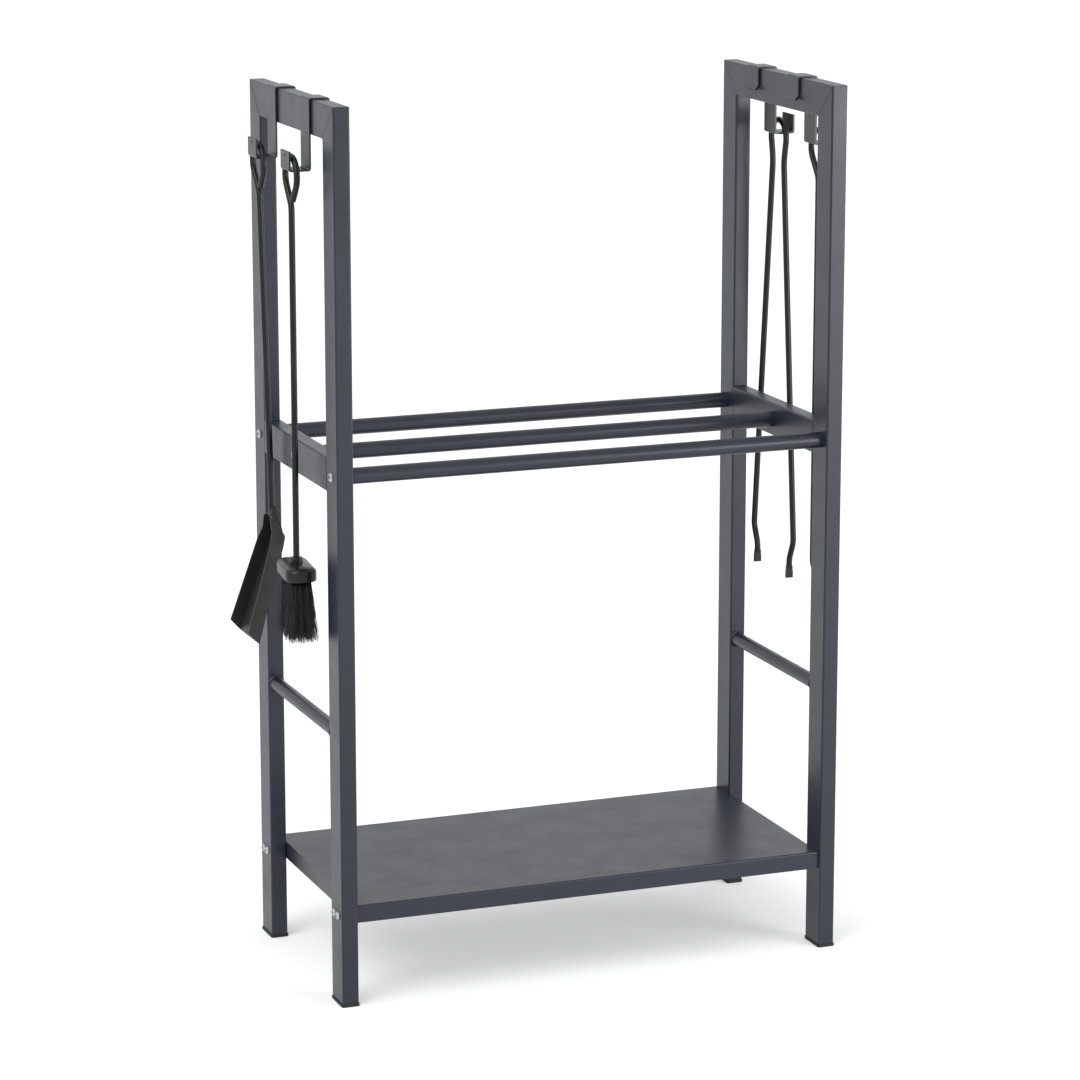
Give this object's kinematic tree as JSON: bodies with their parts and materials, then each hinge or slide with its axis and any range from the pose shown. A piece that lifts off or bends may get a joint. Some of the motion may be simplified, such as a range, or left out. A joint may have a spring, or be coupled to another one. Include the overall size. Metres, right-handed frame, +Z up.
{
  "type": "firewood log rack",
  "caption": "Two-tier steel firewood rack with open side frames, a tube shelf, a sheet tray and hanging hearth tools on sliding over-rail hooks.",
  "frame": {"origin": "on the floor, under the middle of the rack and its hanging tools together", "axes": "+X to the rack's right seen from its front, +Y to its rear, +Z up; the front is -Y"},
  "size_m": [0.6748, 0.302, 1.002],
  "materials": {
    "frame_coat": "fine matt anthracite powder coat",
    "hook_coat": "satin anthracite powder coat",
    "tool_coat": "satin black paint",
    "zinc": "zinc-plated",
    "foot_plastic": "matt",
    "brush_plastic": "semi-gloss",
    "bristle": "coarse black fibre"
  },
  "bodies": {
    "rack": {"bottom_tray": "frame_coat", "left_front_foot": "foot_plastic", "left_front_leg": "frame_coat", "left_lower_bar": "frame_coat", "left_rear_foot": "foot_plastic", "left_rear_leg": "frame_coat", "left_shelf_rail": "frame_coat", "left_top_rail": "frame_coat", "right_front_foot": "foot_plastic", "right_front_leg": "frame_coat", "right_lower_bar": "frame_coat", "right_rear_foot": "foot_plastic", "right_rear_leg": "frame_coat", "right_shelf_rail": "frame_coat", "right_top_rail": "frame_coat", "shelf_screws": "zinc", "shelf_tube_front": "frame_coat", "shelf_tube_middle": "frame_coat", "shelf_tube_plugs": "zinc", "shelf_tube_rear": "frame_coat", "tray_nuts": "zinc", "tray_screws": "zinc"},
    "left_front_hook": {"left_front_hook": "hook_coat"},
    "left_rear_hook": {"left_rear_hook": "hook_coat"},
    "right_front_hook": {"right_front_hook": "hook_coat"},
    "right_rear_hook": {"right_rear_hook": "hook_coat"},
    "brush": {"brush_handle": "tool_coat", "brush_collar": "brush_plastic", "brush_head": "brush_plastic", "brush_bristles": "bristle"},
    "shovel": {"shovel_handle": "tool_coat", "shovel_pan": "tool_coat"},
    "tongs": {"tongs_bow": "tool_coat"},
    "tongs_front_arm": {"tongs_front_arm": "tool_coat"},
    "tongs_rear_arm": {"tongs_rear_arm": "tool_coat"},
    "poker": {"poker": "tool_coat"}
  },
  "joints": [
    {"name": "left_front_hook_slide", "type": "slide", "parent": "rack", "child": "left_front_hook", "axis": [0, -1, 0], "range_m": [-0.02, 0.012]},
    {"name": "left_rear_hook_slide", "type": "slide", "parent": "rack", "child": "left_rear_hook", "axis": [0, 1, 0], "range_m": [-0.02, 0.02]},
    {"name": "right_front_hook_slide", "type": "slide", "parent": "rack", "child": "right_front_hook", "axis": [0, -1, 0], "range_m": [-0.02, 0.02]},
    {"name": "right_rear_hook_slide", "type": "slide", "parent": "rack", "child": "right_rear_hook", "axis": [0, 1, 0], "range_m": [-0.02, 0.02]},
    {"name": "brush_swing", "type": "hinge", "parent": "left_front_hook", "child": "brush", "pos_m": [-0.30658, -0.06, 0.925], "axis": [0, 1, 0], "range_deg": [-2.4, 15]},
    {"name": "shovel_swing", "type": "hinge", "parent": "left_rear_hook", "child": "shovel", "pos_m": [-0.30658, 0.06, 0.925], "axis": [0, 1, 0], "range_deg": [-1, 15]},
    {"name": "tongs_swing", "type": "hinge", "parent": "right_rear_hook", "child": "tongs", "pos_m": [0.32442, 0.06, 0.925], "axis": [0, -1, 0], "range_deg": [-0.8, 15]},
    {"name": "poker_swing", "type": "hinge", "parent": "right_front_hook", "child": "poker", "pos_m": [0.32442, -0.05, 0.925], "axis": [0, -1, 0], "range_deg": [-1.4, 15]},
    {"name": "tongs_front_squeeze", "type": "hinge", "parent": "tongs", "child": "tongs_front_arm", "pos_m": [0.32442, 0.04723, 0.87975], "axis": [1, 0, 0], "range_deg": [0, 5.1], "stiffness_Nm_per_rad": 1.5},
    {"name": "tongs_rear_squeeze", "type": "hinge", "parent": "tongs", "child": "tongs_rear_arm", "pos_m": [0.32442, 0.07276, 0.87975], "axis": [-1, 0, 0], "range_deg": [0, 5.1], "stiffness_Nm_per_rad": 1.5}
  ],
  "couplings": [
    {"joint": "tongs_rear_squeeze", "follows": "tongs_front_squeeze", "ratio": 1}
  ]
}
